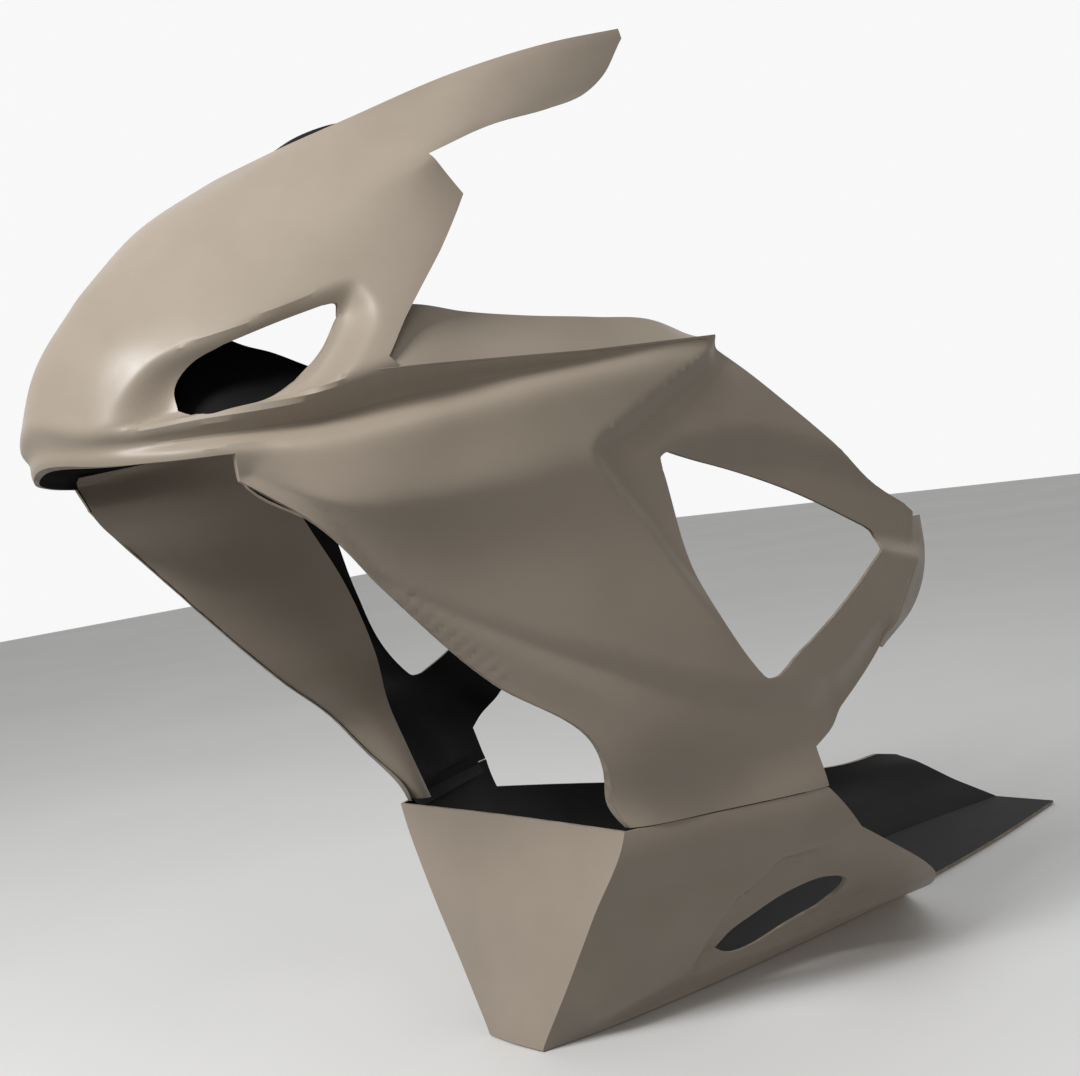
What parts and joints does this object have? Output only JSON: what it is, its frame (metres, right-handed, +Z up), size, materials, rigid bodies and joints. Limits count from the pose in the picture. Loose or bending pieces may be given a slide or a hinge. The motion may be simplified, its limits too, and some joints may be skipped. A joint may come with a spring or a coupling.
{
  "type": "motorcycle fairing",
  "caption": "Unpainted race fairing: a pointed upper moulding with air scoops and side windows, over a belly pan cut low on one side.",
  "frame": {"origin": "on the underside of the belly's flat, in the centre plane, 250 mm behind the flat's front edge", "axes": "+X to the motorcycle's left, which is the side with the short belly panel; +Y rearwards, so the nose points along -Y; +Z up"},
  "size_m": [0.512, 1.179, 0.8548],
  "materials": {
    "upper_laminate": "satin primer over glass fibre laminate",
    "pan_laminate": "satin primer over glass fibre laminate"
  },
  "bodies": {
    "root": {"upper_fairing": "upper_laminate", "belly_pan": "pan_laminate"}
  },
  "joints": []
}
